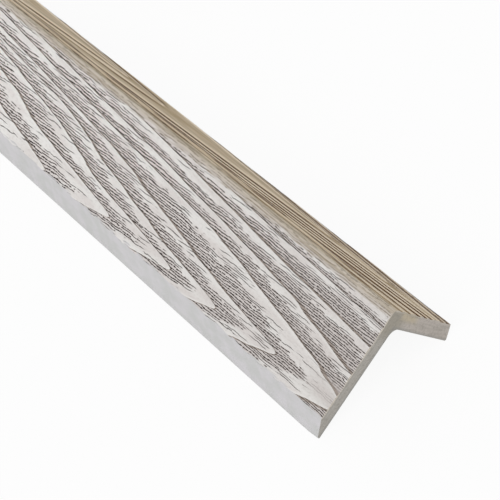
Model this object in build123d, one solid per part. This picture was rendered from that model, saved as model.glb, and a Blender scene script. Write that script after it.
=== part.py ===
from build123d import *

import os
from math import atan2, cos, sin, tan

# Decking corner trim: one length of wood-composite angle with bevelled toes.
#
# The section is an L. Its front leg shows the broad embossed face, and its back leg covers
# the deck boards. Each leg ends in a bevel that runs from the outer face to a toe at the
# inner face. The trim lies as it does when it is put down: both toes on the floor, ridge up.
#
# X runs along the trim, Y across it with the front leg towards -Y, and Z is up.

# Driving dimensions, in millimetres
LENGTH = 2200.0  # stock length of the trim
FRONT_LEG = 60.0  # front leg, from the outer corner to its toe
BACK_LEG = 54.0  # back leg, from the outer corner to its toe
FRONT_WALL = 8.0  # thickness of the front leg
BACK_WALL = 7.5  # thickness of the back leg
FRONT_BEVEL = 10.5  # run of the bevel along the front leg
BACK_BEVEL = 5.2  # run of the bevel along the back leg
RIDGE_RADIUS = 3.0  # rounding of the outer corner, where the two legs meet
ROOT_RADIUS = 3.5  # fillet of the inner corner
BROW_RADIUS = 1.0  # rounding where an outer face turns into its bevel
TOE_RADIUS = 0.6  # rounding of the thin edge that a leg ends in


def toe_centre(leg, wall, bevel):
    """Centre of a toe's rounding, as its distance along the leg and its depth in the wall."""
    toe_angle = atan2(wall, bevel)
    return leg - TOE_RADIUS / tan(toe_angle / 2), wall - TOE_RADIUS


def resting_slope():
    """Angle of the front leg below level, in radians, when both toes touch the floor."""
    front_along, front_deep = toe_centre(FRONT_LEG, FRONT_WALL, FRONT_BEVEL)
    back_along, back_deep = toe_centre(BACK_LEG, BACK_WALL, BACK_BEVEL)
    return atan2(back_along - front_deep, front_along - back_deep)


def trim_section():
    """L-shaped section, drawn flat: outer corner at 0, front leg along x, back leg along y."""
    corners = [
        ((0, 0), RIDGE_RADIUS),
        ((FRONT_LEG - FRONT_BEVEL, 0), BROW_RADIUS),
        ((FRONT_LEG, FRONT_WALL), TOE_RADIUS),
        ((BACK_WALL, FRONT_WALL), ROOT_RADIUS),
        ((BACK_WALL, BACK_LEG), TOE_RADIUS),
        ((0, BACK_LEG - BACK_BEVEL), BROW_RADIUS),
    ]
    points = [point for point, radius in corners]
    radii = [radius for point, radius in corners]
    return make_face(FilletPolyline(*points, radius=radii, close=True))


def corner_trim():
    """The section run out to its length, set down on both toes and centred over the origin."""
    slope = resting_slope()
    cut_end = Plane(
        origin=(-LENGTH / 2, 0, 0),
        x_dir=(0, -cos(slope), -sin(slope)),
        z_dir=(1, 0, 0),
    )
    trim = extrude(cut_end * trim_section(), amount=LENGTH)
    box = trim.bounding_box()
    return Pos(0, -box.center().Y, -box.min.Z) * trim


os.makedirs("parts", exist_ok=True)
export_step(corner_trim(), "parts/corner_trim.step")
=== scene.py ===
import random
from math import atan2, cos, radians, sin, tan

import bmesh
import bpy
from mathutils import Color, Euler, Matrix, Vector


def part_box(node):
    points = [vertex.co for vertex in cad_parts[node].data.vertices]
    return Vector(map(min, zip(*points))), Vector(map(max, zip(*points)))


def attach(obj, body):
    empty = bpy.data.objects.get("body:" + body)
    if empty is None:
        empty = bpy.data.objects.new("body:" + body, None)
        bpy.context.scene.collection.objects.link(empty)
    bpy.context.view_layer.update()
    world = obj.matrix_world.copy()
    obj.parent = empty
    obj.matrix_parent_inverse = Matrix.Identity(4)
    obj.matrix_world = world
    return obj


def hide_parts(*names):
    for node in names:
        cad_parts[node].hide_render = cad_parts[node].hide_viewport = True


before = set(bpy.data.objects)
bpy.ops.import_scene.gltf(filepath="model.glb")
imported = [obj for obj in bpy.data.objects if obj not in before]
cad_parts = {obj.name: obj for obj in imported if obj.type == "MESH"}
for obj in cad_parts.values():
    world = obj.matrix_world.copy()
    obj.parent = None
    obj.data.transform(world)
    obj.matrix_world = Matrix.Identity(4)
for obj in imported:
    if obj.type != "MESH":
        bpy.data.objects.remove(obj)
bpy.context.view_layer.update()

# Corner trim: one extruded length of wood-plastic composite, an L-shaped angle with bevelled toes.
# A heated roller presses oak grain into its two outer faces, and a white wash stays on the raised
# bands of the front one. The ends are sawn square and left bare.
low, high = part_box("corner_trim")
LENGTH = high.x - low.x
FRONT_LEG = 0.060  # from the outer corner to the toe of the front leg
BACK_LEG = 0.054
FRONT_WALL = 0.008
BACK_WALL = 0.0075
FRONT_BEVEL = 0.0105  # run of the bevel along the front leg
BACK_BEVEL = 0.0052
RIDGE_RADIUS = 0.003
BROW_RADIUS = 0.001
TOE_RADIUS = 0.0006
ROOT_RADIUS = 0.0035

FRONT_BROW = FRONT_LEG - FRONT_BEVEL  # where the front face turns into its bevel
BACK_BROW = BACK_LEG - BACK_BEVEL


def rounded_corner(before, corner, after, radius, steps):
    """Points along the arc that rounds one corner of the section."""
    back = (before - corner).normalized()
    ahead = (after - corner).normalized()
    half = back.angle(ahead) / 2
    centre = corner + (back + ahead).normalized() * radius / sin(half)
    start = corner + back * radius / tan(half) - centre
    end = corner + ahead * radius / tan(half) - centre
    turn = start.angle(end)
    return [
        centre + (start * sin(turn * (1 - step / steps)) + end * sin(turn * step / steps)) / sin(turn)
        for step in range(steps + 1)
    ]


# The section lies flat: its front leg along x, its back leg along y, the outer corner at 0.
# Each corner has its rounding, the steps in that rounding and the columns of the run after it.
SECTION = [
    ((0, 0), RIDGE_RADIUS, 6, 60),
    ((FRONT_BROW, 0), BROW_RADIUS, 3, 3),
    ((FRONT_LEG, FRONT_WALL), TOE_RADIUS, 4, 4),
    ((BACK_WALL, FRONT_WALL), ROOT_RADIUS, 5, 4),
    ((BACK_WALL, BACK_LEG), TOE_RADIUS, 4, 3),
    ((0, BACK_BROW), BROW_RADIUS, 3, 40),
]
corners = [Vector(corner) for corner, radius, steps, columns in SECTION]
arcs = [
    rounded_corner(corners[i - 1], corners[i], corners[(i + 1) % len(corners)], radius, steps)
    for i, (corner, radius, steps, columns) in enumerate(SECTION)
]
outline = []
for i, (corner, radius, steps, columns) in enumerate(SECTION):
    next_arc = arcs[(i + 1) % len(arcs)]
    outline += arcs[i]
    outline += [arcs[i][-1].lerp(next_arc[0], column / columns) for column in range(1, columns)]

section_mesh = bpy.data.meshes.new("corner_trim_section")
section_mesh.from_pydata(
    [(*point, 0) for point in outline],
    [(i, (i + 1) % len(outline)) for i in range(len(outline))],
    [],
)
section = bpy.data.objects.new("corner_trim_section", section_mesh)

# The grain is a tangential cut through growth rings. The crisp edge of each ring is an arch that
# opens away from the near end: a short foot below its tip, and above it a long limb that climbs to
# the ridge. The back face has arches of its own, with straight limbs. All places are distances
# back from the near end, and levels are distances down from the outer corner.
LEVELS = (0.036, 0.028, 0.020, 0.012, 0.004)
RIDGE_SLOPE = 10.0  # run of a limb along the trim, for each step across it, over the ridge
BACK_FOOT_SLOPE = 9.0
BACK_BEND = 0.014  # level above which the limbs there lie flatter
BACK_RIDGE_SLOPE = 9.0
# Each ring has its foot at the brow, its tip and the tip's level, and its limb at the five levels.
# Then come its tip on the back face, that tip's level, the slope of its limb and its rounding.
RINGS = [
    (-0.370, (-0.400, 0.0420), (-0.365, -0.322, -0.275, -0.210, -0.112), (-0.390, 0.038, 6.2, 0.004)),
    (-0.270, (-0.300, 0.0420), (-0.265, -0.222, -0.175, -0.110, -0.012), (-0.330, 0.038, 6.2, 0.004)),
    (-0.185, (-0.215, 0.0420), (-0.200, -0.165, -0.120, -0.080, 0.092), (-0.265, 0.038, 6.2, 0.004)),
    (-0.110, (-0.140, 0.0420), (-0.104, -0.068, -0.030, 0.060, 0.150), (-0.205, 0.038, 6.2, 0.004)),
    (-0.042, (-0.072, 0.0420), (-0.030, 0.018, 0.047, 0.120, 0.222), (-0.141, 0.038, 6.2, 0.004)),
    (0.024, (-0.012, 0.0420), (0.014, 0.049, 0.094, 0.190, 0.268), (-0.090, 0.038, 6.2, 0.004)),
    (0.058, (0.031, 0.0415), (0.074, 0.117, 0.162, 0.243, 0.328), (-0.052, 0.037, 6.2, 0.004)),
    (0.080, (0.0665, 0.0443), (0.121, 0.158, 0.193, 0.284, 0.372), (-0.014, 0.036, 6.2, 0.004)),
    (0.119, (0.095, 0.0449), (0.160, 0.187, 0.236, 0.325, 0.412), (0.024, 0.035, 6.2, 0.004)),
    (0.154, (0.1305, 0.0452), (0.204, 0.234, 0.272, 0.362, 0.452), (0.060, 0.037, 6.2, 0.004)),
    (0.184, (0.180, 0.0490), (0.240, 0.270, 0.314, 0.402, 0.492), (0.170, 0.037, 4.8, 0.010)),
    (0.300, (0.262, 0.0450), (0.312, 0.350, 0.400, 0.482, 0.570), (0.199, 0.038, 4.5, 0.0045)),
]

# Further back the rings go on unevenly, each near the run of the one before it
GRAIN_SEED = 7
TIP_SPACING = (0.028, 0.062)
TIP_LEVEL = (0.0415, 0.0475)
BACK_TIP_LEVEL = (0.0365, 0.0395)
BACK_SLOPE = (4.4, 6.4)
BACK_TIP_ROUND = (0.004, 0.009)
FOOT_RUN = (0.012, 0.028)  # from a tip to its foot
LIMB_RUN = (0.047, 0.088, 0.134, 0.220, 0.308)  # from a tip to its limb at each level
BACK_RUN = -0.012  # from a tip to the same ring's tip on the back face
STRAY = 0.007  # how far a limb strays from the run of the one before it
KEEP = 0.75  # how much of a limb's stray the next one follows
BEYOND_END = 0.12  # how far the tips go on past the far end before it is sawn off

chance = random.Random(GRAIN_SEED)
stray = [0.0] * (len(LEVELS) + 1)  # one for each level, and a spare
tip = RINGS[-1][1][0]  # of the last ring in the list
while tip < LENGTH + BEYOND_END:
    tip += chance.uniform(*TIP_SPACING)
    stray = [KEEP * amount + chance.uniform(-STRAY, STRAY) for amount in stray]
    limb = tuple(tip + run + amount for run, amount in zip(LIMB_RUN, stray))
    foot = tip + chance.uniform(*FOOT_RUN)
    front_tip = (tip, chance.uniform(*TIP_LEVEL))
    back_shape = [chance.uniform(*span) for span in (BACK_TIP_LEVEL, BACK_SLOPE, BACK_TIP_ROUND)]
    RINGS.append((foot, front_tip, limb, (tip + BACK_RUN, *back_shape)))

TIP_ROUND = 0.0024  # rounding of the arch tips
BEND_ROUND = 0.0040  # rounding of the bends in the limbs
ROUND_SHARE = 1 / 6  # of its rounding, that a smooth maximum adds at the corner itself


def ring_course(foot, front_tip, limb, back_tip):
    """What the sweep needs to know of one ring: its two tips, and each change of slope on its way."""
    tip, level = front_tip
    back, back_level, back_slope, back_round = back_tip
    ridge = limb[-1] + RIDGE_SLOPE * LEVELS[-1]
    stops = [(tip, level), *zip(limb, LEVELS), (ridge, 0.0)]
    slopes = [(after[0] - here[0]) / (here[1] - after[1]) for here, after in zip(stops, stops[1:])]
    foot_slope = (foot - tip) / (FRONT_BROW - level) if level < FRONT_BROW else 0.0
    course = {
        "tip": tip - (slopes[0] + foot_slope) * TIP_ROUND * ROUND_SHARE,
        "tip_level": level,
        "foot_slope": foot_slope,
        "back_tip": back - (back_slope + BACK_FOOT_SLOPE) * back_round * ROUND_SHARE,
        "back_level": back_level,
        "back_slope": back_slope,
        "back_round": back_round,
    }
    for i, slope in enumerate(slopes):
        course[f"bend_{i}"] = slope - slopes[i - 1] if i else slope
    return course


# Each ring takes several rows of mesh. The last gap is narrow: the wall of the step up to the next.
ROWS_PER_RING = 12
WALL_SHARE = 0.05  # of a ring, that its wall takes
courses = [ring_course(*ring) for ring in RINGS]
rows = []
for ring, (course, next_course) in enumerate(zip(courses, courses[1:])):
    width = next_course["back_tip"] - course["back_tip"]
    for step in range(ROWS_PER_RING):
        phase = step / (ROWS_PER_RING - 1) * (1 - WALL_SHARE)
        row = {name: course[name] + phase * (next_course[name] - course[name]) for name in course}
        edges = {"from_edge": phase * width, "to_edge": (1 - phase) * width}
        rows.append({"ring": ring + phase, **edges, **row})
rows.append({"ring": len(courses) - 1.0, "from_edge": 0.0, "to_edge": 0.0, **courses[-1]})

rings_mesh = bpy.data.meshes.new("growth_rings")
rings_mesh.from_pydata(
    [(0, 0, i) for i in range(len(rows))],
    [(i, i + 1) for i in range(len(rows) - 1)],
    [],
)
for name in rows[0]:
    layer = rings_mesh.attributes.new(name, "FLOAT", "POINT")
    layer.data.foreach_set("value", [row[name] for row in rows])


def feed(tree, socket, value):
    """Links a socket to another one, or sets it to a plain value."""
    if isinstance(value, bpy.types.NodeSocket):
        tree.links.new(value, socket)
    else:
        socket.default_value = value


def add_node(tree, kind, inputs=None, **settings):
    """A new node with its settings, and with its inputs fed by name."""
    node = tree.nodes.new(kind)
    for name, value in settings.items():
        setattr(node, name, value)
    for name, value in (inputs or {}).items():
        feed(tree, node.inputs[name], value)
    return node


def calc(tree, operation, *values):
    """One step of arithmetic."""
    node = add_node(tree, "ShaderNodeMath", operation=operation)
    for socket, value in zip(node.inputs, values):
        feed(tree, socket, value)
    return node.outputs[0]


def apart(tree, first, second):
    """How far two values lie apart."""
    return calc(tree, "ABSOLUTE", calc(tree, "SUBTRACT", first, second))


def ramp(tree, value, start, end, first=0.0, last=1.0):
    """A smooth change from first to last while the value goes from start to end."""
    node = add_node(tree, "ShaderNodeMapRange", interpolation_type="SMOOTHSTEP")
    for socket, number in zip(node.inputs, (value, start, end, first, last)):
        feed(tree, socket, number)
    return node.outputs[0]


def vector(tree, x, y, z):
    """Three numbers as one vector."""
    return add_node(tree, "ShaderNodeCombineXYZ", {"X": x, "Y": y, "Z": z}).outputs[0]


def noise(tree, place, detail=0.0):
    """Smooth noise about 0, mostly within 0.2 either way."""
    inputs = {"Vector": place, "Scale": 1.0, "Detail": detail}
    fac = add_node(tree, "ShaderNodeTexNoise", inputs, noise_dimensions="3D").outputs[0]
    return calc(tree, "SUBTRACT", fac, 0.5)


# From here on, a value with two numbers is where a smooth change starts and ends, unless its
# comment says otherwise. In one with four, the last two are the amounts before and after it.
FRONT_FADE = (0.0024, 0.0044)  # levels over which the grain fades in below the ridge
BACK_FADE = (0.0018, 0.0034)
BROW_FADE = 0.0006  # distance over which it fades out above the brow
DEPTH_FADE = (0.0001, 0.0006)  # depths below an outer face over which it fades out


def face_masks(tree, across_front, across_back, fray=0.0):
    """Two masks, 1 on the embossed front face and on the embossed back face, with frayed borders."""
    masks = []
    for across, depth, fade, brow in (
        (across_front, across_back, FRONT_FADE, FRONT_BROW),
        (across_back, across_front, BACK_FADE, BACK_BROW),
    ):
        frayed = calc(tree, "ADD", across, fray)
        past_ridge = ramp(tree, frayed, *fade)
        past_brow = ramp(tree, frayed, brow - BROW_FADE, brow)
        below_face = ramp(tree, depth, *DEPTH_FADE)
        on_face = calc(tree, "SUBTRACT", past_ridge, calc(tree, "MAXIMUM", past_brow, below_face))
        masks.append(calc(tree, "MAXIMUM", on_face, 0.0))
    return masks


FRONT_DEPTH = 0.0006  # depth of the emboss
BACK_DEPTH = 0.0003
WIDE_BANDS = (0.004, 0.013, 0.22, 0.0)  # levels where raised bands narrow, and how much wider they are
WIDE_TIPS = (0.037, 0.043, 0.0, 0.10)  # the same round the tips, where they widen again
CREST = (0.0, 0.09, 0.15, 0.0)  # shares of a ring over which its crest rounds, and of the depth it takes
SINK = (0.22, 0.75)  # shares of a ring over which it sinks to its full depth
FOOT_SHARE = (0.0, 0.004, 1.0, 0.3)  # distances below a tip, and how much of the depth is left there
GROOVE = (0.0038, 0.0026)  # distances square to the next edge over which the back face sinks
NOSE_SLOPE = 1.2  # run of a back arch at its tip, for each step across
WOBBLE = (0.016, 0.0090, 0.6)  # unevenness of an edge: reach along the trim, width, change with each ring
FEATHER = (0.007, 0.0018, 0.9)  # the same for the finer unevenness of the limbs
TIP_REACH = 0.0060  # distance from the level of its tip at which an arch has become a limb
TOE_WEAR = 0.0011  # how much is rubbed off the front toe at the near end
TOE_WEAR_RUN = 0.006


def choose(tree, choice, first, second):
    """The first value where the choice is 0, the second where it is 1."""
    node = add_node(tree, "ShaderNodeMix", data_type="FLOAT")
    for socket, value in zip((node.inputs[0], node.inputs[2], node.inputs[3]), (choice, first, second)):
        feed(tree, socket, value)
    return node.outputs[0]


def sinking(tree, phase, across_front):
    """Phase of a ring on the front, held back near the ridge and the tips, where raised bands are wider."""
    held = calc(tree, "SUBTRACT", phase, ramp(tree, across_front, *WIDE_BANDS))
    return calc(tree, "SUBTRACT", held, ramp(tree, across_front, *WIDE_TIPS))


def off_the_tip(tree, across_front, tip_level):
    """From 0 at the level of an arch's tip to 1 where the arch has become a limb."""
    return ramp(tree, apart(tree, across_front, tip_level), 0.0, TIP_REACH)


def edge_slope(tree, across_back, back_level, back_slope, back_round):
    """Run of an edge on the back face, along the trim for each step across."""
    below_tip = calc(tree, "SUBTRACT", across_back, back_level)
    straight = choose(tree, calc(tree, "GREATER_THAN", below_tip, 0.0), back_slope, BACK_FOOT_SLOPE)
    return ramp(tree, calc(tree, "ABSOLUTE", below_tip), 0.0, back_round, NOSE_SLOPE, straight)


def embossed_sweep():
    """Node tree that sweeps the section along the trim, row by row along the growth rings."""
    tree = bpy.data.node_groups.new("embossed_sweep", "GeometryNodeTree")
    tree.interface.new_socket("Geometry", in_out="INPUT", socket_type="NodeSocketGeometry")
    tree.interface.new_socket("Section", in_out="INPUT", socket_type="NodeSocketObject")
    for name in ("Front depth", "Back depth", "Toe wear"):
        tree.interface.new_socket(name, in_out="INPUT", socket_type="NodeSocketFloat")
    tree.interface.new_socket("Material", in_out="INPUT", socket_type="NodeSocketMaterial")
    tree.interface.new_socket("Geometry", in_out="OUTPUT", socket_type="NodeSocketGeometry")
    given = tree.nodes.new("NodeGroupInput").outputs

    def carried(name):
        node = add_node(tree, "GeometryNodeInputNamedAttribute", {"Name": name}, data_type="FLOAT")
        return node.outputs[0]

    def beyond(value, start, rounding):
        """How far a value lies beyond its start, or 0, with the corner rounded."""
        return calc(tree, "SMOOTH_MAX", calc(tree, "SUBTRACT", value, start), 0.0, rounding)

    rail = add_node(tree, "GeometryNodeMeshToCurve", {"Mesh": given["Geometry"]}).outputs[0]
    profile = add_node(tree, "GeometryNodeObjectInfo", {"Object": given["Section"]})
    profile = add_node(tree, "GeometryNodeMeshToCurve", {"Mesh": profile.outputs["Geometry"]}).outputs[0]
    sweep = add_node(tree, "GeometryNodeCurveToMesh", {"Curve": rail, "Profile Curve": profile})

    # How far back each point lies: along its limb on the front face, or on the back face
    spot = add_node(tree, "GeometryNodeInputPosition").outputs[0]
    spot = add_node(tree, "ShaderNodeSeparateXYZ", {"Vector": spot}).outputs
    across_front = spot["X"]
    across_back = spot["Y"]
    tip_level = carried("tip_level")
    front_run = carried("tip")
    for i, level in enumerate((tip_level, *LEVELS)):
        above = beyond(level, across_front, BEND_ROUND if i else TIP_ROUND)
        front_run = calc(tree, "MULTIPLY_ADD", above, carried(f"bend_{i}"), front_run)
    below = beyond(across_front, tip_level, TIP_ROUND)
    front_run = calc(tree, "MULTIPLY_ADD", below, carried("foot_slope"), front_run)
    back_level = carried("back_level")
    back_slope = carried("back_slope")
    back_round = carried("back_round")
    above = beyond(back_level, across_back, back_round)
    back_run = calc(tree, "MULTIPLY_ADD", above, back_slope, carried("back_tip"))
    above = beyond(BACK_BEND, across_back, BEND_ROUND)
    flatter = calc(tree, "SUBTRACT", BACK_RIDGE_SLOPE, back_slope)
    back_run = calc(tree, "MULTIPLY_ADD", above, flatter, back_run)
    below = beyond(across_back, back_level, back_round)
    back_run = calc(tree, "MULTIPLY_ADD", below, BACK_FOOT_SLOPE, back_run)
    in_front = calc(tree, "GREATER_THAN", across_front, across_back)
    run = calc(tree, "SUBTRACT", front_run, back_run)
    run = calc(tree, "MULTIPLY_ADD", run, in_front, back_run)

    ring = carried("ring")
    on_limb = off_the_tip(tree, across_front, tip_level)
    for (reach, width, pace), share in ((WOBBLE, 1.0), (FEATHER, on_limb)):
        place = vector(
            tree,
            calc(tree, "MULTIPLY", ring, pace),
            calc(tree, "DIVIDE", across_front, width),
            calc(tree, "DIVIDE", across_back, width),
        )
        reach = calc(tree, "MULTIPLY", share, reach)
        run = calc(tree, "MULTIPLY_ADD", noise(tree, place), reach, run)
    laid = add_node(
        tree,
        "GeometryNodeSetPosition",
        {
            "Geometry": sweep.outputs[0],
            "Position": vector(tree, across_front, across_back, calc(tree, "MULTIPLY", run, -1.0)),
        },
    )
    placed = add_node(
        tree,
        "GeometryNodeStoreNamedAttribute",
        {"Geometry": laid.outputs[0], "Name": "place"},
        data_type="FLOAT_VECTOR",
    )
    spot_now = add_node(tree, "GeometryNodeInputPosition").outputs[0]
    feed(tree, placed.inputs["Value"], spot_now)

    # Each ring sinks slowly from its raised band to its deepest line, and the next one steps up
    phase = calc(tree, "FRACT", ring)
    front_mask, back_mask = face_masks(tree, across_front, across_back)
    sunk = ramp(tree, sinking(tree, phase, across_front), *SINK)
    front_sink = calc(tree, "MAXIMUM", sunk, ramp(tree, phase, *CREST))
    past_tip = calc(tree, "SUBTRACT", across_front, tip_level)
    front_sink = calc(tree, "MULTIPLY", front_sink, ramp(tree, past_tip, *FOOT_SHARE))
    front_sink = calc(tree, "MULTIPLY", front_sink, given["Front depth"])
    slope = edge_slope(tree, across_back, back_level, back_slope, back_round)
    groove = ramp(tree, calc(tree, "DIVIDE", carried("to_edge"), slope), *GROOVE)
    back_sink = calc(tree, "MULTIPLY", groove, given["Back depth"])
    run_now = add_node(tree, "ShaderNodeSeparateXYZ", {"Vector": spot_now}).outputs["Z"]
    near_end = ramp(tree, run_now, -TOE_WEAR_RUN, 0.0)
    toe = ramp(tree, across_front, FRONT_LEG - 2 * TOE_WEAR, FRONT_LEG - TOE_RADIUS)
    rubbed = calc(tree, "MULTIPLY", calc(tree, "MULTIPLY", near_end, toe), given["Toe wear"])
    sink = vector(
        tree,
        calc(tree, "SUBTRACT", calc(tree, "MULTIPLY", back_sink, back_mask), rubbed),
        calc(tree, "MULTIPLY", front_sink, front_mask),
        0.0,
    )
    pressed = add_node(
        tree, "GeometryNodeSetPosition", {"Geometry": placed.outputs[0], "Offset": sink}
    )
    whole = add_node(tree, "GeometryNodeRealizeInstances", {"Geometry": pressed.outputs[0]})
    finished = add_node(
        tree,
        "GeometryNodeSetMaterial",
        {"Geometry": whole.outputs[0], "Material": given["Material"]},
    )
    add_node(tree, "NodeGroupOutput", {"Geometry": finished.outputs[0]})
    return tree


def shade(red, green, blue):
    """A colour as it shows on a screen, from 0 to 255, in the units that a shader takes."""
    return (*Color((red / 255, green / 255, blue / 255)).from_srgb_to_scene_linear(), 1.0)


def blend(tree, amount, first, second):
    """A colour between two others."""
    node = add_node(tree, "ShaderNodeMix", data_type="RGBA")
    for socket, value in zip((node.inputs[0], node.inputs[6], node.inputs[7]), (amount, first, second)):
        feed(tree, socket, value)
    return node.outputs[2]


def drawn(tree, first, second):
    """A number from 0 to 1, drawn by lot for each pair of whole numbers."""
    inputs = {"Vector": vector(tree, first, second, 0.0)}
    return add_node(tree, "ShaderNodeTexWhiteNoise", inputs, noise_dimensions="2D").outputs["Value"]


def attribute(tree, name, kind="Fac"):
    """What the mesh carries under a name, as the shader reads it."""
    return add_node(tree, "ShaderNodeAttribute", attribute_name=name).outputs[kind]


def streaks(tree, place, width, length, detail=0.0):
    """Noise drawn out along the trim."""
    across_front, across_back, along = place
    stretched = vector(
        tree,
        calc(tree, "DIVIDE", across_front, width),
        calc(tree, "DIVIDE", across_back, width),
        calc(tree, "DIVIDE", along, length),
    )
    return noise(tree, stretched, detail)


CREAM = (0.0050, 0.0020)  # distances square to the edge before it over which a ring is palest
TIP_FADE = (0.0, 0.0075, 0.1, 1.0)  # distances from the tip of a back arch, and how whole its line is
LIMB_END = (0.0105, 0.0145)  # levels over which the dark lines die out below the ridge
RIDGE_LINES = (0.0043, 0.0114)  # levels of the two dark lines that run along the ridge on the back
RIDGE_LINE = (0.0019, 0.0008, 0.0, 0.65)  # distances from such a line, and how dark it is there
RIDGE_CREAM = 0.0080  # level of the pale line between them
CREAM_LINE = (0.0018, 0.0007, 0.0, 0.6)
DRIFT = (0.05, 0.045)  # width and length of the bends in these three lines
DRIFT_REACH = 0.004
DRIFT_FRAY = 0.3  # how much of the fray of the grain's borders they take on


def back_lines(tree, place, fray):
    """How dark and how pale the back is: a dark line ends each ring, and the next one starts pale."""
    _, across_back, _ = place
    to_edge, from_edge, *arch = [
        attribute(tree, name)
        for name in ("to_edge", "from_edge", "back_level", "back_slope", "back_round")
    ]
    slope = edge_slope(tree, across_back, *arch)
    groove = ramp(tree, calc(tree, "DIVIDE", to_edge, slope), *GROOVE)
    groove = calc(tree, "MULTIPLY", groove, ramp(tree, apart(tree, across_back, arch[0]), *TIP_FADE))
    groove = calc(tree, "MULTIPLY", groove, ramp(tree, across_back, *LIMB_END))
    cream = ramp(tree, calc(tree, "DIVIDE", from_edge, slope), *CREAM)

    # Along the ridge run two more dark lines, with a pale one between them
    drift = calc(tree, "MULTIPLY_ADD", streaks(tree, place, *DRIFT), DRIFT_REACH, across_back)
    drift = calc(tree, "MULTIPLY_ADD", fray, DRIFT_FRAY, drift)
    for level in RIDGE_LINES:
        groove = calc(tree, "MAXIMUM", groove, ramp(tree, apart(tree, drift, level), *RIDGE_LINE))
    pale = ramp(tree, apart(tree, drift, RIDGE_CREAM), *CREAM_LINE)
    return groove, calc(tree, "MAXIMUM", cream, pale)


PORE_PITCH = (0.0, -0.30, 0.00088, 0.00118)  # distances along, and from one line of pores to the next
PORE_WAVES = (  # width and length of the waves in a line of pores, and how many pitches they move it
    (0.0090, 0.0140, 1.3),
    (0.0020, 0.0042, 0.55),
)
PORE_LENGTH = (0.0014, 0.0046)  # shortest and longest
PORE_START = 40.0  # pore lengths by which one line may start ahead of another
START_WAVES = (0.00060, 0.0110, 1.5)  # width and length of the waves in that, and how far they go
PORE_SHIFT = 0.34  # pitches by which a pore may lie off its line
LINE_SHIFT = 0.20  # and by which a whole line may
PORE_CENTRE = (1.0 + PORE_SHIFT + LINE_SHIFT) / 2  # middle of the places that these leave it
RIDGE_CROWDING = (0.0035, 0.0090, 0.72, 1.0)  # levels where pores grow more frequent, and how much
RING_CROWDING = (0.22, 0.64, 0.12, 1.38)  # shares of a ring where they do, and how much
LINE_CROWDING = 1.2  # how frequent they are in the dark lines of the back
PLAIN_CROWDING = 0.95  # and off the grain
PORE_SHOWS = (1.0, 1.5)  # sums of lot and crowding over which a pore comes to show
PORE_RAG = 0.0011  # length over which the width of a pore varies
RAG_WIDTH = (-0.2, 0.2, 0.13, 0.28)  # noise, and the half width of a pore in pitches
PORE_TAPER = (0.5, 0.40)  # distances from a pore's middle, in its lengths, over which it widens
PORE_BORDER = (0.04, -0.04)  # distances outside a pore, in pitches, over which it sets in
PORE_DARK = (0.0, 0.8)  # how far it shows while it goes dark
LONG_PORE = 0.0160
LONG_KEEP = (0.02, 0.30, -0.3, 0.0)  # shares of a ring where long pores are rarer, and what their lots lose
LONG_SHOWS = (0.50, 0.58)  # lots over which a long pore comes to show
LONG_TAPER = (0.5, 0.30, 0.0, 0.16)  # distances from its middle, and its half width in pitches
LONG_DARK = 0.9
START_LOT, LONG_START_LOT, LENGTH_LOT, SHIFT_LOT = (0.0, 1.0, 2.0, 3.0)  # tell a line's own draws apart
FRONT_LINES = 100.0  # added to a line's number on the front, so that the faces differ
LONG_LINES = 1000.0  # added for the long pores, so that their lots differ


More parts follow.
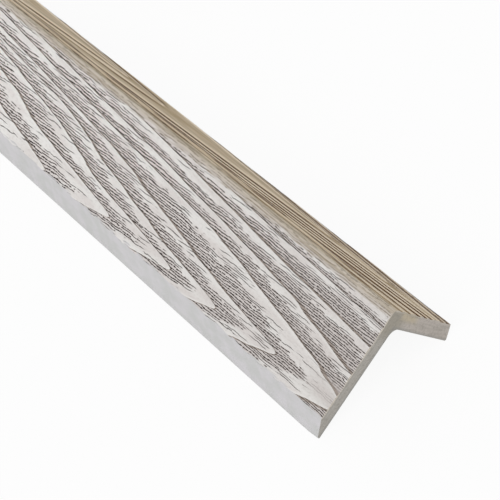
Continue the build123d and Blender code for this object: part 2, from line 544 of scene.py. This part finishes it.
def pores(tree, place, phase, held, groove, embossed):
    """Fine dark dashes, line by line along the trim, and the lot that each of them drew.

    The lot says how deep in the ring a pore starts to show and how dark it gets: few on the raised
    band, crowded in the sunk one.
    """
    across_front, across_back, along = place
    across = calc(tree, "MAXIMUM", across_front, across_back)
    on_front = calc(tree, "GREATER_THAN", across_front, across_back)
    line = calc(tree, "DIVIDE", across, ramp(tree, along, *PORE_PITCH))
    for width, length, reach in PORE_WAVES:
        line = calc(tree, "MULTIPLY_ADD", streaks(tree, place, width, length), reach, line)
    number = calc(tree, "MULTIPLY_ADD", on_front, FRONT_LINES, calc(tree, "FLOOR", line))

    width, length, reach = START_WAVES
    start = calc(tree, "MULTIPLY", drawn(tree, number, START_LOT), PORE_START)
    start = calc(tree, "MULTIPLY_ADD", streaks(tree, place, width, length), reach, start)
    pore_length = ramp(tree, drawn(tree, number, LENGTH_LOT), 0.0, 1.0, *PORE_LENGTH)
    step = calc(tree, "ADD", calc(tree, "DIVIDE", along, pore_length), start)
    lot = drawn(tree, number, calc(tree, "FLOOR", step))
    sideways = calc(tree, "MULTIPLY_ADD", lot, PORE_SHIFT, calc(tree, "FRACT", line))
    sideways = calc(tree, "MULTIPLY_ADD", drawn(tree, number, SHIFT_LOT), LINE_SHIFT, sideways)
    off_line = apart(tree, sideways, PORE_CENTRE)

    below_ridge = ramp(tree, across_front, *RIDGE_CROWDING)
    in_ring = calc(tree, "MULTIPLY", ramp(tree, held, *RING_CROWDING), below_ridge)
    crowding = choose(tree, on_front, calc(tree, "MULTIPLY", groove, LINE_CROWDING), in_ring)
    crowding = choose(tree, embossed, PLAIN_CROWDING, crowding)
    shown = ramp(tree, calc(tree, "ADD", lot, crowding), *PORE_SHOWS)
    ragged = vector(tree, calc(tree, "DIVIDE", along, PORE_RAG), number, 0.0)
    widest = ramp(tree, noise(tree, ragged), *RAG_WIDTH)
    off_middle = apart(tree, calc(tree, "FRACT", step), 0.5)
    half_width = calc(tree, "MULTIPLY", shown, ramp(tree, off_middle, *PORE_TAPER, 0.0, widest))
    outside = calc(tree, "SUBTRACT", off_line, half_width)
    pore = calc(tree, "MULTIPLY", ramp(tree, outside, *PORE_BORDER), ramp(tree, shown, *PORE_DARK))

    # Some long thin ones run out onto the raised band of the front
    start = calc(tree, "MULTIPLY", drawn(tree, number, LONG_START_LOT), PORE_START)
    step = calc(tree, "ADD", calc(tree, "DIVIDE", along, LONG_PORE), start)
    long_number = calc(tree, "ADD", number, LONG_LINES)
    long_lot = drawn(tree, long_number, calc(tree, "FLOOR", step))
    shown = ramp(tree, calc(tree, "ADD", long_lot, ramp(tree, phase, *LONG_KEEP)), *LONG_SHOWS)
    off_middle = apart(tree, calc(tree, "FRACT", step), 0.5)
    half_width = calc(tree, "MULTIPLY", shown, ramp(tree, off_middle, *LONG_TAPER))
    outside = calc(tree, "SUBTRACT", off_line, half_width)
    long_pore = calc(tree, "MULTIPLY", ramp(tree, outside, *PORE_BORDER), shown)
    long_pore = calc(tree, "MULTIPLY", long_pore, on_front)
    pore = calc(tree, "MAXIMUM", pore, calc(tree, "MULTIPLY", long_pore, LONG_DARK))
    return pore, lot


STEP_START = (0.0, 1.0, 0.972, 0.930)  # from tip to limb, the share of a ring where its line of painted shade starts
STEP_BORDER = 0.02
HIGHLIGHT_SHARE = (0.0, 1.0, 0.04, 0.14)  # from tip to limb, the share of a ring that its painted highlight, a pale rim on the lip of the step, takes


def step_shade_and_highlight(tree, across_front, phase):
    """The thin line of painted shade at the foot of each step, and the painted highlight of the pale rim
    that the band above starts with.
    """
    on_limb = off_the_tip(tree, across_front, attribute(tree, "tip_level"))
    start = ramp(tree, on_limb, *STEP_START)
    step_shade = ramp(tree, phase, start, calc(tree, "ADD", start, STEP_BORDER))
    return step_shade, ramp(tree, phase, ramp(tree, on_limb, *HIGHLIGHT_SHARE), 0.0)


WASH = shade(228, 226, 223)
THIN_WASH = shade(218, 213, 210)
WASH_HIGHLIGHT = shade(233, 231, 228)
# Painted highlight: the pale rim on the lip of each step, where it catches the light
SUNK_WASH = shade(219, 213, 210)
SOIL = shade(122, 110, 103)
# Painted shade: brown of the line at the foot of each step, where its wall is in shade
STEP_SHADE = shade(156, 145, 137)
PORE_BROWN = shade(30, 17, 9)
MOTTLE = (0.0050, 0.0250, 1.0)  # width, length and detail of the unevenness of the wash
MOTTLE_SHOWS = (-0.15, 0.15)
TOOTH = (0.00080, 0.0018, 1.0)  # and of the tooth that shows through it
TOOTH_SHOWS = (-0.05, 0.25)
TOOTH_SHARE = (0.0, 1.0, 0.14, 0.35)  # from the raised band to the sunk one
HANDLED = (0.0, -0.110, 0.14, 0.0)  # distances along where the grain is handled and dirty, and how much
SOILED = (0.0, -0.30, 0.15, 0.0)  # the same for dirt on the whole face
RUBBED_RUN = (-0.022, -0.006)  # a patch at the near end, low on the front, is rubbed almost bare
RUBBED_TOP = (0.034, 0.038)
RUBBED_FOOT = (0.0465, 0.0445)
RUBBED_SOIL = 0.10
RUBBED_PORES = 0.8  # how much of a pore is rubbed away there
HANDLED_PORES = 0.6  # and how much where the grain is handled


def washed_front(tree, place, sunk, step_shade, rim_highlight, pore):
    """White wash, thick and a little uneven on the raised band, that frays out into the sunk one."""
    across_front, _, along = place
    mottle = ramp(tree, streaks(tree, place, *MOTTLE), *MOTTLE_SHOWS)
    colour = blend(tree, mottle, WASH, THIN_WASH)
    # Painted highlight on the lip of each step
    colour = blend(tree, rim_highlight, colour, WASH_HIGHLIGHT)
    colour = blend(tree, sunk, colour, SUNK_WASH)
    tooth = ramp(tree, streaks(tree, place, *TOOTH), *TOOTH_SHOWS)
    tooth = calc(tree, "MULTIPLY", tooth, ramp(tree, sunk, *TOOTH_SHARE))
    colour = blend(tree, tooth, colour, SOIL)

    handled = ramp(tree, along, *HANDLED)
    rubbed = ramp(tree, along, *RUBBED_RUN)
    for border in (RUBBED_TOP, RUBBED_FOOT):
        rubbed = calc(tree, "MINIMUM", rubbed, ramp(tree, across_front, *border))
    soiled = calc(tree, "MULTIPLY_ADD", sunk, handled, ramp(tree, along, *SOILED))
    soiled = calc(tree, "MULTIPLY_ADD", rubbed, RUBBED_SOIL, soiled)
    colour = blend(tree, soiled, colour, SOIL)
    # Painted shade along the foot of each step
    colour = blend(tree, step_shade, colour, STEP_SHADE)
    worn = calc(
        tree,
        "MAXIMUM",
        calc(tree, "MULTIPLY", handled, HANDLED_PORES),
        calc(tree, "MULTIPLY", rubbed, RUBBED_PORES),
    )
    worn_pore = calc(tree, "MULTIPLY", pore, calc(tree, "SUBTRACT", 1.0, worn))
    return blend(tree, worn_pore, colour, PORE_BROWN)


LIGHT_TAN = shade(211, 192, 161)
DARK_TAN = shade(187, 166, 134)
TAN_STAIN = shade(150, 130, 94)
CREAM_TAN = shade(234, 217, 191)
LINE_BROWN = shade(94, 58, 2)
BACK_PORE_BROWN = shade(68, 43, 5)
FIBRE = (0.0012, 0.040, 1.0)  # width, length and detail of the fibres on the back
FIBRE_SHOWS = (-0.12, 0.12)
STAIN = (0.0045, 0.030, 1.0)  # and of the stains over them
STAIN_SHOWS = (-0.12, 0.15, 0.0, 0.5)


def bare_back(tree, place, groove, cream, pore):
    """Tan composite without a wash, with the dark and pale lines of its grain."""
    fibre = ramp(tree, streaks(tree, place, *FIBRE), *FIBRE_SHOWS)
    colour = blend(tree, fibre, LIGHT_TAN, DARK_TAN)
    stain = ramp(tree, streaks(tree, place, *STAIN), *STAIN_SHOWS)
    colour = blend(tree, stain, colour, TAN_STAIN)
    colour = blend(tree, cream, colour, CREAM_TAN)
    colour = blend(tree, groove, colour, LINE_BROWN)
    return blend(tree, pore, colour, BACK_PORE_BROWN)


RIDGE_TAN = shade(204, 188, 160)
RIDGE_TOP = shade(207, 197, 183)
RIDGE_GREY = shade(187, 179, 171)
RIDGE_STREAK = shade(150, 136, 112)
RIDGE_PORE_BROWN = shade(92, 78, 58)
TAN_TO_TOP = (-0.003, 0.0)  # distances across the ridge, from its top, over which its colour changes
TOP_TO_GREY = (0.0, 0.0035)
BRUSHED = (0.0010, 0.050, 1.0)  # width, length and detail of the streaks
BRUSHED_SHOWS = (-0.06, 0.12, 0.0, 0.5)
RIDGE_PORES = 0.5  # how dark the pores are there


def plain_ridge(tree, place, pore):
    """The ridge, which the roller leaves plain: tan at the back to grey at the front, softly streaked."""
    across_front, across_back, _ = place
    from_top = calc(tree, "SUBTRACT", across_front, across_back)
    colour = blend(tree, ramp(tree, from_top, *TAN_TO_TOP), RIDGE_TAN, RIDGE_TOP)
    colour = blend(tree, ramp(tree, from_top, *TOP_TO_GREY), colour, RIDGE_GREY)
    brushed = ramp(tree, streaks(tree, place, *BRUSHED), *BRUSHED_SHOWS)
    colour = blend(tree, brushed, colour, RIDGE_STREAK)
    return blend(tree, calc(tree, "MULTIPLY", pore, RIDGE_PORES), colour, RIDGE_PORE_BROWN)


LIGHT_BEVEL = shade(199, 197, 199)
DARK_BEVEL = shade(191, 191, 190)
CUTTER_SLANT = -0.75  # run of the cutter's marks along the trim, for each step across
CUTTER_MARK = (0.0034, 0.016)  # width and length of a mark
CUTTER_DETAIL = 1.0
CUTTER_SHARE = 0.5
CLOUD = (0.0040, 0.008, 2.0)  # width, length and detail of the unevenness under the marks
BEVEL_SHOWS = (-0.20, 0.20)


def planed_bevel(tree, place):
    """Pale grey bevels, with the faint slanting marks of the cutter that planes them."""
    across_front, across_back, along = place
    across = calc(tree, "MAXIMUM", across_front, across_back)
    width, length = CUTTER_MARK
    slant = calc(tree, "MULTIPLY_ADD", across, CUTTER_SLANT, along)
    marks = vector(
        tree, calc(tree, "DIVIDE", slant, width), calc(tree, "DIVIDE", across, length), 0.0
    )
    cloud = streaks(tree, place, *CLOUD)
    marks = calc(tree, "MULTIPLY_ADD", noise(tree, marks, CUTTER_DETAIL), CUTTER_SHARE, cloud)
    return blend(tree, ramp(tree, marks, *BEVEL_SHOWS), LIGHT_BEVEL, DARK_BEVEL)


LIGHT_INNER = shade(176, 169, 157)
DARK_INNER = shade(164, 157, 145)
DIE_LINES = (0.0014, 0.080, 1.0)  # width, length and detail
DIE_SHOWS = (-0.15, 0.15)
INNER_SKIN = (0.90, 0.98)  # shares of a wall's thickness over which its inner skin sets in


def inner_faces(tree, place):
    """Mask and colour of the inner faces, as they left the die, with faint lines along the trim."""
    across_front, across_back, _ = place
    start, end = INNER_SKIN
    inner = calc(
        tree,
        "MINIMUM",
        ramp(tree, across_back, start * FRONT_WALL, end * FRONT_WALL),
        ramp(tree, across_front, start * BACK_WALL, end * BACK_WALL),
    )
    lines = ramp(tree, streaks(tree, place, *DIE_LINES), *DIE_SHOWS)
    return inner, blend(tree, lines, LIGHT_INNER, DARK_INNER)


FRAY = (0.0012, 0.0080, 1.0)  # width, length and detail of the frayed borders of the grain
FRAY_REACH = 0.004
WASH_EDGE = (0.52, 0.74)  # shares of a ring over which the wash gives out
LOT_FRAY = 0.3  # share of a ring by which the lots of the pores fray that
STEP_PORES = (0.0, 1.0, 1.0, 0.8)  # how dark the pores are off and in the painted shade line of a step
PAST_RIDGE = (0.010, 0.020)  # levels over which, under the grain, ridge turns to bevel
PORE_RELIEF = 0.5
PORE_DEPTH = 0.0002
ROUGHNESS = (0.0, 1.0, 0.55, 0.72)  # from the raised band to the sunk one
SHEEN = 0.2


def embossed_finish():
    """White wash over grey-brown composite on the front, bare tan on the back, pale grey bevels."""
    material = bpy.data.materials.new("embossed_composite")
    material.use_nodes = True
    tree = material.node_tree
    shader = tree.nodes["Principled BSDF"]
    phase = calc(tree, "FRACT", attribute(tree, "ring"))
    spot = add_node(tree, "ShaderNodeSeparateXYZ", {"Vector": attribute(tree, "place", "Vector")})
    place = tuple(spot.outputs)
    across_front, across_back, _ = place
    fray = calc(tree, "MULTIPLY", streaks(tree, place, *FRAY), FRAY_REACH)
    front_mask, back_mask = face_masks(tree, across_front, across_back, fray)
    embossed = calc(tree, "MAXIMUM", front_mask, back_mask)

    held = sinking(tree, phase, across_front)
    groove, cream = back_lines(tree, place, fray)
    pore, lot = pores(tree, place, phase, held, groove, embossed)
    step_shade, rim_highlight = step_shade_and_highlight(tree, across_front, phase)
    pore = calc(tree, "MULTIPLY", pore, ramp(tree, step_shade, *STEP_PORES))
    sunk = ramp(tree, calc(tree, "MULTIPLY_ADD", lot, LOT_FRAY, held), *WASH_EDGE)

    past_ridge = calc(
        tree,
        "MAXIMUM",
        ramp(tree, across_front, *PAST_RIDGE),
        ramp(tree, across_back, *PAST_RIDGE),
    )
    inner, inner_colour = inner_faces(tree, place)
    colour = blend(tree, past_ridge, plain_ridge(tree, place, pore), planed_bevel(tree, place))
    front = washed_front(tree, place, sunk, step_shade, rim_highlight, pore)
    colour = blend(tree, front_mask, colour, front)
    colour = blend(tree, back_mask, colour, bare_back(tree, place, groove, cream, pore))
    colour = blend(tree, inner, colour, inner_colour)
    tree.links.new(colour, shader.inputs["Base Color"])

    height = calc(tree, "MULTIPLY", calc(tree, "MULTIPLY", pore, embossed), -1.0)
    inputs = {"Strength": PORE_RELIEF, "Distance": PORE_DEPTH, "Height": height}
    relief = add_node(tree, "ShaderNodeBump", inputs)
    tree.links.new(relief.outputs[0], shader.inputs["Normal"])
    tree.links.new(ramp(tree, sunk, *ROUGHNESS), shader.inputs["Roughness"])
    shader.inputs["Specular IOR Level"].default_value = SHEEN
    return material


CUT_FRONT = shade(181, 177, 170)
CUT_BACK = shade(190, 182, 174)
CUT_CORNER = shade(166, 160, 148)
CUT_PATCH = shade(192, 180, 158)
CUT_STREAK = shade(152, 147, 138)
CUT_SKIN = shade(150, 149, 146)
CUT_RIM = shade(216, 207, 194)
CUT_FLECK = shade(140, 135, 126)
BACK_LEG_FROM = (-0.004, 0.010)  # distances past the corner over which the back leg's colour sets in
CORNER_REACH = (0.016, 0.008)  # distances from the corner over which its colour does
PATCH_START = (0.006, 0.010)  # the same for a warm patch on the back leg
PATCH_END = (0.024, 0.017)
PATCH_DEPTH = (0.0050, 0.0020)
FLOW = (0.0011, 0.0120)  # width and length of the streaks along the walls
FLOW_DETAIL = 1.0
FLOW_SHOWS = (-0.1, 0.25, 0.0, 0.45)
SKIN_DEPTH = (0.0058, 0.0074, 0.0, 0.5)  # depths where the darker skin along the inner faces sets in
RIM_DEPTH = (0.0009, 0.0003)  # depths where the pale rim along the outer faces does
RIM_LEGS = (0.0, 1.0, 1.0, 0.2)  # how much it shows, from the front leg to the back one
SPECKLE = 0.0014  # size of the flecks of wood flour
SPECKLE_DETAIL = 3.0
SPECKLE_SHOWS = (0.45, 0.75, 0.0, 0.5)
SAW_RELIEF = 0.3
SAW_DEPTH = 0.0001
CUT_ROUGHNESS = 0.75
CUT_SHEEN = 0.25


def cut_end_finish():
    """Sawn composite: grey-olive wood flour in plastic, with a pale rim along its edges with the outer
    faces.
    """
    material = bpy.data.materials.new("cut_end")
    material.use_nodes = True
    tree = material.node_tree
    shader = tree.nodes["Principled BSDF"]
    place = attribute(tree, "place", "Vector")
    spot = add_node(tree, "ShaderNodeSeparateXYZ", {"Vector": place}).outputs
    across_front = spot["X"]
    across_back = spot["Y"]
    depth = calc(tree, "MINIMUM", across_front, across_back)
    from_corner = calc(tree, "MAXIMUM", across_front, across_back)
    on_back_leg = ramp(tree, calc(tree, "SUBTRACT", across_back, across_front), *BACK_LEG_FROM)

    colour = blend(tree, on_back_leg, CUT_FRONT, CUT_BACK)
    colour = blend(tree, ramp(tree, from_corner, *CORNER_REACH), colour, CUT_CORNER)
    patch = ramp(tree, depth, *PATCH_DEPTH)
    for border in (PATCH_START, PATCH_END):
        patch = calc(tree, "MINIMUM", patch, ramp(tree, from_corner, *border))
    colour = blend(tree, calc(tree, "MULTIPLY", patch, on_back_leg), colour, CUT_PATCH)
    width, length = FLOW
    flow = vector(
        tree,
        calc(tree, "DIVIDE", depth, width),
        calc(tree, "DIVIDE", from_corner, length),
        on_back_leg,
    )
    flow = noise(tree, flow, FLOW_DETAIL)
    colour = blend(tree, ramp(tree, flow, *FLOW_SHOWS), colour, CUT_STREAK)
    colour = blend(tree, ramp(tree, depth, *SKIN_DEPTH), colour, CUT_SKIN)
    rim = calc(tree, "MULTIPLY", ramp(tree, depth, *RIM_DEPTH), ramp(tree, on_back_leg, *RIM_LEGS))
    colour = blend(tree, rim, colour, CUT_RIM)
    inputs = {"Vector": place, "Scale": 1 / SPECKLE, "Detail": SPECKLE_DETAIL}
    flecks = add_node(tree, "ShaderNodeTexNoise", inputs).outputs[0]
    colour = blend(tree, ramp(tree, flecks, *SPECKLE_SHOWS), colour, CUT_FLECK)
    tree.links.new(colour, shader.inputs["Base Color"])
    inputs = {"Strength": SAW_RELIEF, "Distance": SAW_DEPTH, "Height": flecks}
    relief = add_node(tree, "ShaderNodeBump", inputs)
    tree.links.new(relief.outputs[0], shader.inputs["Normal"])
    shader.inputs["Roughness"].default_value = CUT_ROUGHNESS
    shader.inputs["Specular IOR Level"].default_value = CUT_SHEEN
    return material


trim = bpy.data.objects.new("corner_trim_embossed", rings_mesh)
bpy.context.scene.collection.objects.link(trim)
sweep_tree = embossed_sweep()
sweep = trim.modifiers.new("embossed_sweep", "NODES")
sweep.node_group = sweep_tree
for name, value in {
    "Section": section,
    "Front depth": FRONT_DEPTH,
    "Back depth": BACK_DEPTH,
    "Toe wear": TOE_WEAR,
    "Material": embossed_finish(),
}.items():
    sweep[sweep_tree.interface.items_tree[name].identifier] = value
evaluated = trim.evaluated_get(bpy.context.evaluated_depsgraph_get())
trim_mesh = bpy.data.meshes.new_from_object(evaluated)
trim.modifiers.remove(sweep)
trim.data = trim_mesh
trim_mesh.name = "corner_trim_embossed"
bpy.data.objects.remove(section)
bpy.data.meshes.remove(section_mesh)
bpy.data.meshes.remove(rings_mesh)

# The ends are sawn off square, and the cut faces show bare composite
SAW_TOLERANCE = 1e-6
trim_mesh.materials.append(cut_end_finish())
cut_end_slot = len(trim_mesh.materials) - 1
shape = bmesh.new()
shape.from_mesh(trim_mesh)
for saw_line, outward in ((0.0, 1.0), (-LENGTH, -1.0)):
    cut = bmesh.ops.bisect_plane(
        shape,
        geom=[*shape.verts, *shape.edges, *shape.faces],
        dist=SAW_TOLERANCE,
        plane_co=(0, 0, saw_line),
        plane_no=(0, 0, outward),
        clear_outer=True,
    )
    rim = [part for part in cut["geom_cut"] if isinstance(part, bmesh.types.BMEdge)]
    for face in bmesh.ops.edgeloop_fill(shape, edges=rim)["faces"]:
        face.material_index = cut_end_slot
        face.smooth = False
bmesh.ops.recalc_face_normals(shape, faces=shape.faces)
shape.to_mesh(trim_mesh)
shape.free()


def toe_centre(leg, wall, bevel):
    """Centre of a toe's rounding, as its distance along the leg and its depth in the wall."""
    toe_angle = atan2(wall, bevel)
    return leg - TOE_RADIUS / tan(toe_angle / 2), wall - TOE_RADIUS


# The trim lies on its two toes, ridge up, with the near end towards +X
SHARP_ANGLE = radians(38)  # edges that turn more than this are shaded as sharp
front_toe = Vector(toe_centre(FRONT_LEG, FRONT_WALL, FRONT_BEVEL))
back_toe = Vector(toe_centre(BACK_LEG, BACK_WALL, BACK_BEVEL)).yx
slope = atan2(back_toe.y - front_toe.y, front_toe.x - back_toe.x)
turned = Matrix(
    (
        (0, 0, 1),
        (-cos(slope), sin(slope), 0),
        (-sin(slope), -cos(slope), 0),
    )
)
toe_place = Vector((high.x, low.y + TOE_RADIUS, low.z + TOE_RADIUS))
trim_mesh.transform(Matrix.Translation(toe_place - turned @ front_toe.to_3d()) @ turned.to_4x4())
trim_mesh.update()
trim_mesh.set_sharp_from_angle(angle=SHARP_ANGLE)

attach(trim, "root")
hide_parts("corner_trim")

# Floor: a plain sheet of white paper under the trim, which takes its soft shadow.
# Seen directly it is close to the white behind it, so that the sheet has no edge.
FLOOR_SIZE = 40.0
PAPER_WHITE = shade(245, 245, 245)
BRIGHT_WHITE = (1.0, 1.0, 1.0, 1.0)
PAPER_GLOW = 0.92  # how much of the sheet, seen directly, is plain white


def seen_directly(tree):
    """1 for what the camera sees, also in a mirror or through glass, and 0 for what only gives light."""
    path = add_node(tree, "ShaderNodeLightPath").outputs
    seen = calc(tree, "MAXIMUM", path["Is Camera Ray"], path["Is Glossy Ray"])
    return calc(tree, "MAXIMUM", seen, path["Is Transmission Ray"])


reach = FLOOR_SIZE / 2
floor_mesh = bpy.data.meshes.new("floor")
floor_mesh.from_pydata(
    [(-reach, -reach, 0), (reach, -reach, 0), (reach, reach, 0), (-reach, reach, 0)], [], [(0, 1, 2, 3)]
)
floor = bpy.data.objects.new("floor", floor_mesh)
bpy.context.scene.collection.objects.link(floor)
paper = bpy.data.materials.new("floor_paper")
paper.use_nodes = True
paper_tree = paper.node_tree
paper_tree.nodes.remove(paper_tree.nodes["Principled BSDF"])
sheet = add_node(paper_tree, "ShaderNodeBsdfDiffuse", {"Color": PAPER_WHITE})
glow = add_node(paper_tree, "ShaderNodeEmission", {"Color": BRIGHT_WHITE, "Strength": 1.0})
glowing = calc(paper_tree, "MULTIPLY", seen_directly(paper_tree), PAPER_GLOW)
lit = add_node(paper_tree, "ShaderNodeMixShader", {"Fac": glowing})
paper_tree.links.new(sheet.outputs[0], lit.inputs[1])
paper_tree.links.new(glow.outputs[0], lit.inputs[2])
paper_tree.links.new(lit.outputs[0], paper_tree.nodes["Material Output"].inputs["Surface"])
floor_mesh.materials.append(paper)

# Light: a broad soft key lamp, which shines on the front face from the viewer's side.
# Even light comes from all round, as in a white room.
KEY_STRENGTH = 1.3
KEY_ANGLE = radians(30)  # how broad the lamp looks from the trim
KEY_DIRECTION = (-0.25, 0.85, -0.62)
ROOM_LIGHT = 0.62
key_data = bpy.data.lights.new("key", "SUN")
key_data.energy = KEY_STRENGTH
key_data.angle = KEY_ANGLE
key = bpy.data.objects.new("key", key_data)
key.rotation_euler = Vector(KEY_DIRECTION).to_track_quat("-Z", "Y").to_euler()
bpy.context.scene.collection.objects.link(key)

world = bpy.data.worlds.new("studio")
bpy.context.scene.world = world
world.use_nodes = True
world_tree = world.node_tree
background = world_tree.nodes["Background"]
background.inputs["Color"].default_value = BRIGHT_WHITE
strength = calc(world_tree, "MULTIPLY_ADD", seen_directly(world_tree), 1.0 - ROOM_LIGHT, ROOM_LIGHT)
world_tree.links.new(strength, background.inputs["Strength"])

# Camera: a long lens that looks down on the near end from the front.
# The trim runs away from it to the left, out of the picture.
SENSOR_WIDTH = 36.0  # millimetres, as the lens is
LENS = 99.42
CAMERA_PLACE = (1.3167, -0.22954, 0.43761)
CAMERA_TURN = (41.475, 2.805, 48.979)  # degrees
camera_data = bpy.data.cameras.new("camera")
camera_data.sensor_width = SENSOR_WIDTH
camera_data.lens = LENS
camera = bpy.data.objects.new("camera", camera_data)
camera.location = CAMERA_PLACE
camera.rotation_euler = Euler([radians(angle) for angle in CAMERA_TURN])
bpy.context.scene.collection.objects.link(camera)
bpy.context.scene.camera = camera
bpy.context.scene.view_settings.view_transform = "Standard"
